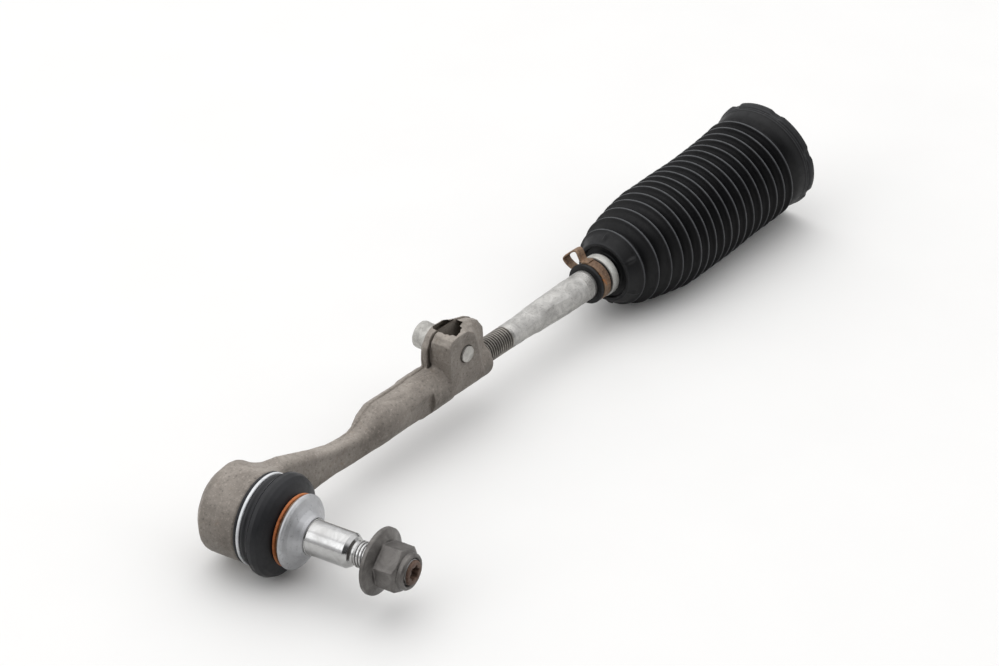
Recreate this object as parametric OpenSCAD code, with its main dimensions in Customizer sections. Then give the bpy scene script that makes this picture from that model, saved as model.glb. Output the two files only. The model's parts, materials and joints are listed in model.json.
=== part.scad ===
// Tie rod assembly: outer ball joint with its clamp arm, threaded rod, inner axial joint and bellows.
// The origin is the centre of the outer ball. +X runs along the rod towards the rack, -Y is the
// side of the ball stud, and +Z is the side of the clamp's ears. Lengths are in millimetres.

/* [Outer ball joint] */
// Radius of the outer ball
ball_r = 11; // [10.5:0.25:11.25]
// Lean of the stud from square to the rod, towards the rack, in degrees
stud_tilt = 8.2; // [0:0.2:12]
// Radius of the forged cup
cup_r = 20.6; // [20:0.2:22]
// Radius of the ground shank that enters the knuckle
shank_r = 7.9; // [7.5:0.1:8]
// Distance from ball centre to the shank's threaded end
shank_end = 57.6; // [54:0.2:58]
// Distance from ball centre to the tip of the stud
stud_end = 88.3; // [86:0.1:90]
// Distance from ball centre to the nut's bearing face
nut_seat = 70; // [66:0.5:72]
// Largest radius of the rubber boot
boot_r = 23.6; // [22.5:0.1:24]

/* [Arm and clamp] */
// Outer radius of the clamp barrel
barrel_r = 9.4; // [9:0.1:10.5]
// Where the clamp barrel ends, along the rod
barrel_end = 158.5; // [156:0.5:160]
// Height of the clamp's ears above the rod axis
ear_top = 27; // [24:0.5:28]
// Width of the saw cut between the ears
slot_w = 1.6; // [1:0.1:2.5]
// Height of the pinch bolt above the rod axis
bolt_z = 15; // [14:0.5:16]

/* [Rod] */
// Radius of the M12 thread that screws into the clamp
rod_thread_r = 6; // [5:0.5:6]
// Radius of the rod's thick end
rod_r = 7.5; // [7:0.1:8]
// Where the rod thread begins, inside the clamp
rod_start = 116; // [114:1:118]
// Where the rod thread ends
thread_end = 178.5; // [176:0.5:180]

/* [Inner joint] */
// Where the inner ball's centre lies along the rod
inner_x = 322; // [318:1:326]
// Radius of the inner ball
inner_ball_r = 13.5; // [13:0.25:13.5]
// Radius of the thread that screws into the rack, M14
rack_thread_r = 7; // [6:0.5:7]
// Length of the rack thread
rack_thread_len = 20; // [16:1:22]

/* [Bellows] */
// Radius of a full fold's crest
crest_r = 28; // [27:0.5:29]
// Depth of a fold
fold_depth = 5; // [4:0.25:5.5]
// Distance between full folds
fold_pitch = 6.5; // [6:0.1:7]
// Number of folds
folds = 18; // [12:1:20]
// Thickness of the moulding
bellows_wall = 1.6; // [1.2:0.1:2]
// Radius of the rim at the rack end
rim_r = 30.3; // [29.5:0.1:32]
// Bore of the cuff that fits the rack housing
cuff_bore_r = 27.8; // [26.5:0.1:28]
// Rise of the cuff's axis above the rod's axis, as it rests on its rim
cuff_rise = 6; // [0:0.5:8]

/* [Hidden] */
$fn = 96;
running_gap = 0.05;  // radial clearance of a sliding or turning fit
cut = 1;             // how far a cutting solid runs past a face

// Outer joint, measured along the stud from the ball centre
shell_r = 15;        // outer radius of the bearing shell
shell_cone = -6.5;   // where the shell's closed end begins to narrow
cover_face = -11.3;  // inner face of the closing cover
cup_back = -12.9;    // rear rim of the cup
cup_corner = -8.3;   // where the cup's rear taper begins
shell_front = 8.8;   // open end of the bearing shell
cup_front = 9.4;     // shoulder that the boot seats against
mouth_end = 12.9;    // end of the neck that carries the boot
mouth_r = 12.4;      // opening that the stud swings in
mouth_neck_r = 18;   // outside of that neck
cover_r = 12.6;
stud_neck_r = 6.4;
stud_land_r = shank_r + 0.4;  // land that carries the collar
collar_front = 37.2; // where the collar meets the knuckle side of the shank
spigot_r = 13.6;     // part of the collar that the boot's neck grips
neck_ring_at = 27.6;
neck_wire_r = 0.8;
stud_thread_r = 6;   // M12
hex_af = 18.7;       // across the nut's flats
flange_r = 15.1;
nut_end = 87.2;

// Clamp
ear_left = 126;
ear_right = 157.3;
ear_corner = 7.5;
ear_front_y = -9.6;
ear_back_y = 8;
bolt_x = 138.6;
bolt_r = 4;          // M8
bolt_head_r = 6.7;
washer_r = 8;
washer_t = 1.6;
bolt_head_end = 17.8;
bore_start = 104;

// Rod
rod_waist_r = 6.1;
rod_swell = [190, 204]; // the forged swelling from waist to full thickness
inner_neck_r = 7;

// Inner joint
inner_shell_r = 15.6;
socket_r = 17.5;
socket_front = inner_x - 13.6;
socket_lip = 2;
socket_mouth_r = 11.7;
socket_back = inner_x + 23.5;
socket_af = 32;
lock_t = 1.6;
relief_r = rack_thread_r - 0.5;  // groove at the root of the rack thread

// Bellows: crests narrow over the first five folds
neck_x = 240;
neck_r = 9.4;
lip_r = 10.3;
clamp_x = [242.2, 247.6];
sleeve_x = [249, 253.6];
cone_x = 255;
cone_r = 15.2;
first_crests = [261.6, 269.4, 277.3, 284.8];
first_radii = [20.2, 23.2, 25, 26.3, 27.2];
rise_start = 300;    // where the bellows begins to climb to the cuff
cuff_x = crest_x(folds - 1) + fold_pitch / 2 + 0.3;
rim_x = cuff_x + 14.5;

function crest_x(i) = i < 4 ? first_crests[i] : first_crests[3] + fold_pitch * (i - 3);
function crest_radius(i) = i < 5 ? first_radii[i] : crest_r;
function valley_x(i) = i < 0 ? cone_x : (crest_x(i) + crest_x(i + 1)) / 2;
function valley_radius(i) =
    i < 0 ? cone_r : (crest_radius(i) + crest_radius(i + 1)) / 2 - fold_depth;
function rise(x) = cuff_rise * pow(max(0, x - rise_start) / (rim_x - rise_start), 2);

// Frames: local +Z becomes the stud's direction, the rod's direction, or -Y
module along_stud() { rotate([90, 0, stud_tilt]) children(); }
module along_rod() { rotate([0, 90, 0]) children(); }
module along_bolt() { translate([bolt_x, 0, bolt_z]) rotate([90, 0, 0]) children(); }

// A turned piece from its half section, given as [radius, distance] points
module turned(points) { rotate_extrude() polygon(points); }

module tube(outer, inner, from, to) {
    turned([[inner, from], [outer, from], [outer, to], [inner, to]]);
}

// Cross-section of the arm, a rounded plate standing across the rod
module arm_section(x, y, z, half_z, half_y) {
    round_r = min(half_z, half_y) * 0.6;
    translate([x, y, z])
        rotate([0, 90, 0])
            linear_extrude(0.5)
                for (sx = [-1, 1], sy = [-1, 1])
                    translate([sx * (half_z - round_r), sy * (half_y - round_r)])
                        circle(round_r, $fn = 32);
}

module arm() {
    hull() {
        arm_section(8, 0, 0, 14, 7);
        arm_section(30, 0, 0.4, 12, 5);
    }
    hull() {
        arm_section(30, 0, 0.4, 12, 5);
        arm_section(46, 0, -1.5, 8.5, 4.4);
    }
    hull() {
        arm_section(46, 0, -1.5, 8.5, 4.4);
        arm_section(66, -0.6, -3.6, 6.5, 4.6);
    }
    hull() {
        arm_section(66, -0.6, -3.6, 6.5, 4.6);
        arm_section(88, 0, 0, 9, 9);
    }
}

// Outline of both ears, seen along the bolt
module ear_outline() {
    width = ear_right - ear_left;
    translate([ear_left, 0]) square([width, ear_top - ear_corner]);
    translate([ear_left + ear_corner, 0]) square([width - 2 * ear_corner, ear_top]);
    for (x = [ear_left + ear_corner, ear_right - ear_corner])
        translate([x, ear_top - ear_corner]) circle(ear_corner);
}

module outer_housing() {
    color("#8d857c")
    difference() {
        union() {
            along_stud() turned([
                [0, cup_back], [cup_r - 5.1, cup_back], [cup_r, cup_corner], [cup_r, cup_front - 0.5],
                [cup_r - 0.6, cup_front], [mouth_neck_r, cup_front], [mouth_neck_r, mouth_end],
                [0, mouth_end]
            ]);
            arm();
            along_rod() translate([0, 0, 84]) cylinder(r = barrel_r, h = barrel_end - 84);
            translate([0, ear_back_y, 0])
                rotate([90, 0, 0])
                    linear_extrude(ear_back_y - ear_front_y) ear_outline();
        }
        along_stud() turned([
            [0, cup_back - cut], [cover_r, cup_back - cut], [cover_r, cover_face],
            [shell_r - 3.4, cover_face], [shell_r, shell_cone], [shell_r, shell_front],
            [mouth_r, shell_front], [mouth_r, mouth_end + cut], [0, mouth_end + cut]
        ]);
        along_rod() translate([0, 0, bore_start])
            cylinder(r = rod_thread_r + running_gap, h = barrel_end - bore_start + cut);
        translate([ear_left - 3, 0, 0]) cube([barrel_end - ear_left + 3 + cut, slot_w, ear_top + cut]);
        along_bolt() translate([0, 0, -ear_back_y - cut])
            cylinder(r = bolt_r + running_gap, h = ear_back_y - ear_front_y + 2 * cut);
    }
}

module closing_cover() {
    color("#7b746c")
    along_stud() turned([
        [0, cup_back + 0.6], [cover_r - 4, cup_back + 0.6], [cover_r - 3, cup_back],
        [cover_r - running_gap, cup_back], [cover_r - running_gap, cover_face],
        [0, cover_face]
    ]);
}

module outer_bearing_shell() {
    seat_edge = 4.6;  // how far past the ball's centre the shell holds it
    color("#e8e4d8")
    along_stud() difference() {
        turned([
            [0, cover_face + 0.05], [shell_r - 3.45, cover_face + 0.05], [shell_r - 0.03, shell_cone],
            [shell_r - 0.03, shell_front - 0.05], [0, shell_front - 0.05]
        ]);
        sphere(r = ball_r + running_gap);
        translate([0, 0, seat_edge])
            cylinder(r1 = sqrt(pow(ball_r + running_gap, 2) - pow(seat_edge, 2)),
                     r2 = mouth_r, h = shell_front - seat_edge);
    }
}

module boot_base_ring() {
    color("#c4c6c8") along_stud() tube(21, 19.6, 10.5, 12.3);
}

module outer_boot() {
    inside = boot_r - 1.7;
    color("#222326")
    along_stud() turned([
        [mouth_neck_r + running_gap, 9.5], [20.3, 9.5], [20.3, 10.4], [19.5, 10.4], [19.5, 12.4],
        [20.8, 12.7], [20.8, 14], [19.6, 15.4], [boot_r - 2, 16.8], [boot_r - 0.4, 18],
        [boot_r, 19.5], [boot_r - 0.5, 21.4], [boot_r - 2.2, 23.6], [boot_r - 4.8, 25.2],
        [15.6, 26.4], [14.65, 26.5], [14.65, 28.6], [15.2, 28.7], [15.2, 29.2],
        [spigot_r + running_gap, 29.2], [spigot_r + running_gap, 25], [inside - 4.4, 23.8],
        [inside - 1.2, 22], [inside, 19.6], [inside - 1, 18.2], [inside - 3.4, 16.8],
        [mouth_neck_r + 0.2, 15.4], [mouth_neck_r + 0.2, 13.4], [mouth_neck_r + running_gap, 13]
    ]);
}

module boot_neck_ring() {
    color("#c0602c")
    along_stud() translate([0, 0, neck_ring_at])
        rotate_extrude() translate([14.7 + neck_wire_r, 0]) circle(neck_wire_r, $fn = 24);
}

module stud_collar() {
    bore = stud_land_r + running_gap;
    color("#aeb1b4")
    along_stud() turned([
        [bore, 22.5], [spigot_r - 0.8, 22.5], [spigot_r, 23.3], [spigot_r, 29.3], [16.4, 29.3],
        [17, 29.8], [17, 30.8], [16, 31.6], [13.6, 32.6], [11.2, 34.1], [9.5, 35.8],
        [8.7, collar_front], [bore, collar_front]
    ]);
}

module ball_stud() {
    socket_depth = 4;
    color("#c9cbcd")
    along_stud() difference() {
        union() {
            sphere(r = ball_r);
            turned([
                [0, 0], [stud_neck_r, 0], [stud_neck_r, 14], [stud_land_r, 20],
                [stud_land_r, collar_front + 0.2], [shank_r, collar_front + 0.3],
                [shank_r, shank_end - 1.2],
                [shank_r - 1.2, shank_end], [5, shank_end + 0.8], [5, shank_end + 1.8],
                [stud_thread_r, shank_end + 2.8], [stud_thread_r, stud_end - 1.2],
                [stud_thread_r - 1.2, stud_end], [0, stud_end]
            ]);
        }
        translate([0, 0, stud_end - socket_depth]) cylinder(r = 3.3, h = socket_depth + cut, $fn = 6);
    }
}

module stud_nut() {
    color("#77736d")
    along_stud() difference() {
        union() {
            turned([
                [0, nut_seat], [flange_r - 0.4, nut_seat], [flange_r, nut_seat + 0.4],
                [flange_r, nut_seat + 1.4], [11, nut_seat + 3.4], [0, nut_seat + 3.4]
            ]);
            intersection() {
                translate([0, 0, nut_seat + 2]) cylinder(d = hex_af / cos(30), h = 12.2, $fn = 6);
                turned([
                    [0, nut_seat], [flange_r, nut_seat], [flange_r, nut_seat + 11.4],
                    [9.4, nut_seat + 14.2], [0, nut_seat + 14.2]
                ]);
            }
            turned([[0, nut_seat], [8.2, nut_seat], [8.2, nut_end - 0.8], [7.4, nut_end], [0, nut_end]]);
        }
        translate([0, 0, nut_seat - cut])
            cylinder(r = stud_thread_r + running_gap, h = nut_end - nut_seat + 2 * cut);
    }
}

module pinch_bolt() {
    head_y = ear_back_y + washer_t;
    color("#a8a79f")
    along_bolt() difference() {
        union() {
            translate([0, 0, -head_y]) cylinder(r = bolt_r, h = head_y - ear_front_y + 1.0);
            translate([0, 0, -bolt_head_end]) cylinder(r = bolt_head_r, h = bolt_head_end - head_y);
        }
        translate([0, 0, -bolt_head_end - cut]) cylinder(r = 3.46, h = 4 + cut, $fn = 6);
    }
}

module pinch_washer() {
    color("#9a958b")
    along_bolt() tube(washer_r, bolt_r + 0.2, -ear_back_y - washer_t, -ear_back_y);
}

module tie_rod() {
    color("#b4b4b2")
    along_rod() {
        turned([
            [0, rod_start], [rod_thread_r - 1, rod_start], [rod_thread_r, rod_start + 1],
            [rod_thread_r, thread_end], [rod_waist_r, thread_end + 0.5], [rod_waist_r, rod_swell[0]],
            [rod_r, rod_swell[1]], [rod_r, inner_x - 26], [inner_neck_r, inner_x - 22],
            [inner_neck_r, inner_x], [0, inner_x]
        ]);
        translate([0, 0, inner_x]) sphere(r = inner_ball_r);
    }
}

module inner_bearing_shell() {
    seat_edge = -7.5;  // how far before the ball's centre the shell holds it
    front = inner_x - 10;
    color("#e3dfd0")
    along_rod() difference() {
        translate([0, 0, front + running_gap])
            cylinder(r = inner_shell_r - 0.03, h = socket_front + 27.4 - front);
        translate([0, 0, inner_x]) sphere(r = inner_ball_r + running_gap);
        translate([0, 0, front])
            cylinder(r1 = 12.6, r2 = sqrt(pow(inner_ball_r + running_gap, 2) - pow(seat_edge, 2)),
                     h = inner_x + seat_edge - front);
    }
}

module inner_retaining_ring() {
    color("#8e8e8c")
    along_rod() tube(inner_shell_r - 0.1, socket_mouth_r, inner_x - 11.6 + 0.02, inner_x - 10);
}

module inner_socket() {
    cavity = [inner_x - 11.6, inner_x + 13.9];
    color("#9fa09e")
    along_rod() difference() {
        turned([
            [socket_mouth_r, socket_front], [socket_r - 1.6, socket_front],
            [socket_r, socket_front + 1.6], [socket_r, inner_x + 16], [socket_r - 3, inner_x + 18.5],
            [socket_r - 3, socket_back], [relief_r, socket_back],
            [relief_r, socket_back + lock_t + 0.3], [rack_thread_r, socket_back + lock_t + 0.9],
            [rack_thread_r, socket_back + rack_thread_len - 1],
            [rack_thread_r - 1, socket_back + rack_thread_len], [0, socket_back + rack_thread_len],
            [0, cavity[1]], [inner_shell_r, cavity[1]], [inner_shell_r, cavity[0]],
            [socket_mouth_r, cavity[0]]
        ]);
        for (side = [0, 180])
            rotate([0, 0, side])
                translate([socket_af / 2, -socket_r, inner_x + 2])
                    cube([socket_r, 2 * socket_r, 30]);
    }
}

module lock_washer() {
    color("#8a8880")
    along_rod() tube(13, rack_thread_r + 0.1, socket_back + 0.02, socket_back + lock_t);
}

module bellows_small_clamp() {
    ear_lean = 45;    // direction of the ear, from up towards the rear
    ear_loop_r = 4.4;
    color("#8a5a38")
    along_rod() difference() {
        union() {
            tube(lip_r + 0.5, neck_r + 0.02, clamp_x[0], clamp_x[1]);
            rotate([0, 0, 180 - ear_lean]) translate([lip_r + ear_loop_r, 0, clamp_x[0]])
                difference() {
                    cylinder(r = ear_loop_r, h = clamp_x[1] - clamp_x[0]);
                    translate([0, 0, -cut])
                        cylinder(r = ear_loop_r - 1.2, h = clamp_x[1] - clamp_x[0] + 2 * cut);
                }
        }
    }
}

module bellows_neck_sleeve() {
    color("#c9c9c4") along_rod() tube(10.7, neck_r + 0.02, sleeve_x[0], sleeve_x[1]);
}

// One fold: up from a valley to the crest and down to the next valley, as a thin wall
module fold(i) {
    a = [valley_radius(i - 1), valley_x(i - 1)];
    c = [crest_radius(i), crest_x(i)];
    b = i < folds - 1
        ? [valley_radius(i), valley_x(i)]
        : [crest_r - fold_depth, crest_x(i) + fold_pitch / 2];
    land = 0.5;  // half the width of the crest's flat
    w = bellows_wall;
    translate([0, 0, rise(c[1])])
        along_rod() turned([
            a, [c[0], c[1] - land], [c[0], c[1] + land], b,
            [b[0] - w, b[1]], [c[0] - w, c[1] + land], [c[0] - w, c[1] - land], [a[0] - w, a[1]]
        ]);
}

module bellows() {
    w = bellows_wall;
    bore = rod_r + running_gap;
    color("#1d1e20") {
        along_rod() turned([
            [bore, neck_x], [lip_r, neck_x], [lip_r, clamp_x[0] - 0.2], [neck_r, clamp_x[0] - 0.1],
            [neck_r, cone_x + 1.4], [cone_r - 1.8, cone_x + 1.4], [cone_r - w, cone_x - 0.4],
            [cone_r, cone_x - 0.4], [cone_r, cone_x + 0.1], [cone_r - w, cone_x + 2.9],
            [bore, cone_x + 2.9]
        ]);
        for (i = [0 : folds - 1]) fold(i);
    }
}

module bellows_cuff() {
    root = crest_r - fold_depth;
    w = bellows_wall;
    color("#232427")
    translate([0, 0, cuff_rise]) along_rod() turned([
        [root - w, cuff_x], [root, cuff_x], [crest_r - 1.2, cuff_x + 3.2], [crest_r, cuff_x + 5.4],
        [cuff_bore_r + 1.4, cuff_x + 8.6], [rim_r - 0.6, cuff_x + 11], [rim_r, cuff_x + 11.8],
        [rim_r, rim_x], [cuff_bore_r, rim_x], [cuff_bore_r, cuff_x + 6.4],
        [crest_r - 2.6, cuff_x + 4.4]
    ]);
}

outer_housing();
closing_cover();
outer_bearing_shell();
boot_base_ring();
outer_boot();
boot_neck_ring();
stud_collar();
ball_stud();
stud_nut();
pinch_bolt();
pinch_washer();
tie_rod();
inner_bearing_shell();
inner_retaining_ring();
inner_socket();
lock_washer();
bellows_small_clamp();
bellows_neck_sleeve();
bellows();
bellows_cuff();
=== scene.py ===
"""Looks of the tie rod assembly: forged outer joint, threaded rod, and bellows over the inner joint."""

import json
import math

import bpy
import numpy as np
from mathutils import Matrix, Vector


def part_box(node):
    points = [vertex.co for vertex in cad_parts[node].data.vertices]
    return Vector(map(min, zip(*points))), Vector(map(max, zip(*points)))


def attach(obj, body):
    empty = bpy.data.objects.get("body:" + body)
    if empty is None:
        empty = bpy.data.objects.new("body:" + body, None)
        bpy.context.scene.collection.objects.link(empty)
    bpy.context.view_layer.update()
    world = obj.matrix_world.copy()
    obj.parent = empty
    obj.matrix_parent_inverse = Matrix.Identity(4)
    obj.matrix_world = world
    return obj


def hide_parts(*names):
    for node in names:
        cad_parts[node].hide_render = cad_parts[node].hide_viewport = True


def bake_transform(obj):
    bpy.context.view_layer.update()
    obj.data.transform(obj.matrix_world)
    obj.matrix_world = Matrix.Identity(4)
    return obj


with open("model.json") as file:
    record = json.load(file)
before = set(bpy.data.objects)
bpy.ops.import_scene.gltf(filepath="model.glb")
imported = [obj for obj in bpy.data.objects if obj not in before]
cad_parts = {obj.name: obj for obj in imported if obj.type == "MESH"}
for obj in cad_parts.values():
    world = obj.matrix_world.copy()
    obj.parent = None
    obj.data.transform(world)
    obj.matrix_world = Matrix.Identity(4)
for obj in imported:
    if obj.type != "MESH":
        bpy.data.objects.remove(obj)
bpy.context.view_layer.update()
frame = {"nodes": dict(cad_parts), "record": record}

MM = 0.001
RIM_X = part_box("bellows_cuff")[1].x / MM
BELLOWS_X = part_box("bellows")[0].x / MM
NUT_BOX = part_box("stud_nut")
STUD_TILT = math.radians(8.2)
STUD = np.array([math.sin(STUD_TILT), -math.cos(STUD_TILT), 0.0])
STUD_SIDE = np.array([math.cos(STUD_TILT), math.sin(STUD_TILT), 0.0])
UP = np.array([0.0, 0.0, 1.0])
TAU = 2 * math.pi
PITCH = 1.5
BOLT_X, BOLT_Z = 138.6, 15.0


# ---------------------------------------------------------------- materials
class Nodes:
    """A small helper for building one procedural material."""

    def __init__(self, name):
        self.mat = bpy.data.materials.new(name)
        self.mat.use_nodes = True
        self.tree = self.mat.node_tree
        self.tree.nodes.clear()
        self.out = self.new("ShaderNodeOutputMaterial")
        self.bsdf = self.new("ShaderNodeBsdfPrincipled")
        self.link(self.bsdf.outputs[0], self.out.inputs[0])
        self.coords = self.new("ShaderNodeTexCoord").outputs["Object"]

    def new(self, kind, **props):
        node = self.tree.nodes.new(kind)
        for key, value in props.items():
            setattr(node, key, value)
        return node

    def link(self, a, b):
        self.tree.links.new(a, b)

    def stretched(self, scale):
        node = self.new("ShaderNodeMapping")
        node.inputs["Scale"].default_value = scale
        self.link(self.coords, node.inputs[0])
        return node.outputs[0]

    def noise(self, size_mm, detail=4.0, rough=0.6, vector=None, distort=0.0):
        node = self.new("ShaderNodeTexNoise")
        node.inputs["Scale"].default_value = 1.0 / (size_mm * MM)
        node.inputs["Detail"].default_value = detail
        node.inputs["Roughness"].default_value = rough
        node.inputs["Distortion"].default_value = distort
        self.link(vector or self.coords, node.inputs["Vector"])
        return node.outputs[0]

    def ramp(self, value, low, high, a=0.0, b=1.0):
        node = self.new("ShaderNodeMapRange")
        node.inputs["From Min"].default_value = low
        node.inputs["From Max"].default_value = high
        node.inputs["To Min"].default_value = a
        node.inputs["To Max"].default_value = b
        self.link(value, node.inputs[0])
        return node.outputs[0]

    def mix(self, factor, a, b):
        node = self.new("ShaderNodeMix", data_type="RGBA")
        for socket, colour in ((node.inputs[6], a), (node.inputs[7], b)):
            if isinstance(colour, tuple):
                socket.default_value = (*colour, 1.0)
            else:
                self.link(colour, socket)
        self.link(factor, node.inputs[0])
        return node.outputs[2]

    def maths(self, kind, a, b):
        node = self.new("ShaderNodeMath", operation=kind)
        self.link(a, node.inputs[0])
        self.link(b, node.inputs[1])
        return node.outputs[0]

    def bump(self, height, distance_mm, strength=1.0, under=None):
        node = self.new("ShaderNodeBump")
        node.inputs["Distance"].default_value = distance_mm * MM
        node.inputs["Strength"].default_value = strength
        self.link(height, node.inputs["Height"])
        if under is not None:
            self.link(under, node.inputs["Normal"])
        return node.outputs[0]

    def attribute(self, name):
        return self.new("ShaderNodeAttribute", attribute_name=name).outputs["Fac"]

    def finish(self, colour, rough, normal=None, metal=1.0, **fixed):
        sockets = self.bsdf.inputs
        self.link(colour, sockets["Base Color"])
        self.link(rough, sockets["Roughness"])
        sockets["Metallic"].default_value = metal
        if normal is not None:
            self.link(normal, sockets["Normal"])
        for key, value in fixed.items():
            sockets[key.replace("_", " ")].default_value = value
        return self.mat


def forged_material(name, base, dark, rust, rust_share):
    """Rough forging: blotches, pits and a thin bloom of rust."""
    n = Nodes(name)
    blotch = n.noise(16, 5, 0.65, distort=0.6)
    speck = n.noise(1.3, 3, 0.7)
    fine = n.noise(0.35, 2, 0.6)
    stain = n.noise(9, 6, 0.7, distort=1.4)
    colour = n.mix(n.ramp(blotch, 0.35, 0.66), dark, base)
    colour = n.mix(n.ramp(speck, 0.56, 0.72, 0.0, 0.5), colour, tuple(min(1.0, c * 1.5) for c in base))
    colour = n.mix(n.ramp(speck, 0.43, 0.30, 0.0, 0.65), colour, tuple(c * 0.4 for c in dark))
    colour = n.mix(n.ramp(stain, 0.60, 0.74, 0.0, rust_share), colour, rust)
    rough = n.ramp(blotch, 0.3, 0.7, 0.62, 0.46)
    height = n.bump(speck, 0.22, 0.55)
    return n.finish(colour, rough, n.bump(fine, 0.06, 0.5, height), metal=0.12,
                    Specular_IOR_Level=0.3)


def steel_material(name, base, dark, size, rough_low, rough_high, lines=0.0, metal=1.0, grime=0.0):
    """Plated or turned steel with mottling, and turning lines round its axis where wanted."""
    n = Nodes(name)
    blotch = n.noise(size, 5, 0.65, distort=0.8)
    speck = n.noise(size * 0.14, 3, 0.6)
    colour = n.mix(n.ramp(blotch, 0.34, 0.68), dark, base)
    if grime:
        colour = n.mix(n.ramp(speck, 0.58, 0.75, 0.0, grime), colour, tuple(c * 0.35 for c in dark))
    rough = n.ramp(blotch, 0.3, 0.7, rough_high, rough_low)
    fine = n.noise(0.5, 2, 0.5)
    normal = n.bump(fine, 0.02, 0.35)
    if lines:
        turned = n.noise(0.6, 2, 0.5, n.stretched(lines))
        normal = n.bump(turned, 0.02, 0.5, normal)
    return n.finish(colour, rough, normal, metal=metal)


def thread_material(name, crest, painted_groove_shade):
    """Cut thread: bright worn crests, with the grooves between them painted dark as shade."""
    n = Nodes(name)
    blotch = n.noise(6, 5, 0.7, distort=0.8)
    top = n.mix(n.ramp(blotch, 0.38, 0.66), tuple(c * 0.55 for c in crest), crest)
    # painted shade: the groove colour fills where the thread's height is low
    colour = n.mix(n.ramp(n.attribute("wear_and_groove_shade"), 0.15, 0.9), painted_groove_shade, top)
    rough = n.ramp(blotch, 0.3, 0.7, 0.5, 0.36)
    return n.finish(colour, rough, n.bump(n.noise(0.5, 2, 0.5), 0.02, 0.4), metal=0.85)


def rubber_material(name, base, worn, rough, wear_and_groove_shade=None):
    """Moulded rubber with dust, faint mould texture and worn edges."""
    n = Nodes(name)
    dust = n.noise(14, 6, 0.7, distort=0.5)
    fine = n.noise(0.5, 2, 0.6)
    colour = n.mix(n.ramp(dust, 0.42, 0.75, 0.0, 0.55), base, worn)
    if wear_and_groove_shade:
        patchy = n.ramp(n.noise(3.5, 4, 0.6), 0.3, 0.6, 0.55, 1.0)
        colour = n.mix(n.maths("MULTIPLY", n.attribute("wear_and_groove_shade"), patchy), colour, wear_and_groove_shade)
    scuff = n.noise(3.0, 5, 0.7)
    rough_out = n.ramp(scuff, 0.35, 0.7, rough - 0.07, rough + 0.1)
    return n.finish(colour, rough_out, n.bump(fine, 0.03, 0.5), metal=0.0, Specular_IOR_Level=0.3)


MATS = {
    "forged_steel": forged_material("forging", (0.355, 0.318, 0.280), (0.230, 0.204, 0.178),
                                    (0.245, 0.160, 0.095), 0.35),
    "cover_steel": forged_material("cover", (0.26, 0.235, 0.21), (0.16, 0.14, 0.12),
                                   (0.22, 0.12, 0.06), 0.5),
    "dark_steel": steel_material("nut_coat", (0.180, 0.170, 0.160), (0.105, 0.098, 0.092), 6, 0.34, 0.48,
                                 metal=0.6, grime=0.35),
    "ground_steel": steel_material("ground", (0.52, 0.52, 0.518), (0.38, 0.377, 0.37), 9, 0.13, 0.26,
                                   lines=(0.2, 9.0, 0.2)),
    "satin_steel": steel_material("satin", (0.56, 0.565, 0.58), (0.44, 0.445, 0.455), 11, 0.38, 0.5,
                                 lines=(0.2, 6.0, 0.2), metal=0.55, grime=0.5),
    "rod_steel": steel_material("zinc_rod", (0.58, 0.57, 0.545), (0.36, 0.352, 0.337), 6, 0.34, 0.5,
                                metal=0.6, grime=0.75),
    # the second colour of each thread is painted shade for its grooves
    "rod_thread": thread_material("thread", (0.40, 0.375, 0.34), (0.030, 0.027, 0.024)),
    "stud_thread": thread_material("bright_thread", (0.56, 0.55, 0.54), (0.045, 0.043, 0.040)),
    "zinc_steel": steel_material("zinc", (0.56, 0.55, 0.52), (0.34, 0.33, 0.31), 4, 0.38, 0.55,
                                 metal=0.8, grime=0.5),
    "sleeve_steel": steel_material("sleeve", (0.72, 0.72, 0.69), (0.50, 0.49, 0.45), 5, 0.42, 0.6,
                                   metal=0.35, grime=0.6),
    "bright_steel": steel_material("bright", (0.80, 0.815, 0.83), (0.64, 0.65, 0.665), 8, 0.34, 0.5,
                                   metal=0.3, grime=0.25),
    "copper_wire": forged_material("coppery", (0.66, 0.235, 0.085), (0.36, 0.11, 0.035),
                                   (0.2, 0.06, 0.03), 0.4),
    "socket_steel": steel_material("socket", (0.45, 0.45, 0.44), (0.28, 0.28, 0.27), 8, 0.36, 0.5,
                                   metal=0.9, grime=0.3),
    "spring_steel": forged_material("rusty_band", (0.36, 0.245, 0.160), (0.095, 0.050, 0.028),
                                    (0.52, 0.185, 0.045), 1.0),
    "rusty_socket": forged_material("rusty_end", (0.21, 0.135, 0.10), (0.09, 0.055, 0.04),
                                    (0.30, 0.12, 0.05), 0.9),
    "bearing_plastic": rubber_material("acetal", (0.74, 0.72, 0.64), (0.66, 0.62, 0.52), 0.4),
    "boot_rubber": rubber_material("boot_black", (0.0150, 0.0155, 0.0175), (0.030, 0.031, 0.035), 0.46),
    "bellows_rubber": rubber_material("bellows_black", (0.0032, 0.0033, 0.0040),
                                      (0.0075, 0.0078, 0.0090), 0.5,
                                      wear_and_groove_shade=(0.085, 0.088, 0.094)),
}


# ---------------------------------------------------------------- mesh tools
def mesh_object(name, verts_mm, faces, material, angle=32, attribute=None):
    """A smooth mesh with sharp edges above that angle, and a value at each point if given, for worn crests
    and for painted shade in thread grooves.
    """
    mesh = bpy.data.meshes.new(name)
    mesh.from_pydata((np.asarray(verts_mm, float) * MM).tolist(), [], faces)
    mesh.validate()
    mesh.polygons.foreach_set("use_smooth", [True] * len(mesh.polygons))
    mesh.set_sharp_from_angle(angle=math.radians(angle))
    if attribute is not None:
        layer = mesh.attributes.new("wear_and_groove_shade", "FLOAT", "POINT")
        layer.data.foreach_set("value", np.asarray(attribute, np.float32))
    mesh.materials.append(MATS[material])
    obj = bpy.data.objects.new(name, mesh)
    bpy.context.scene.collection.objects.link(obj)
    return obj


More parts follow.
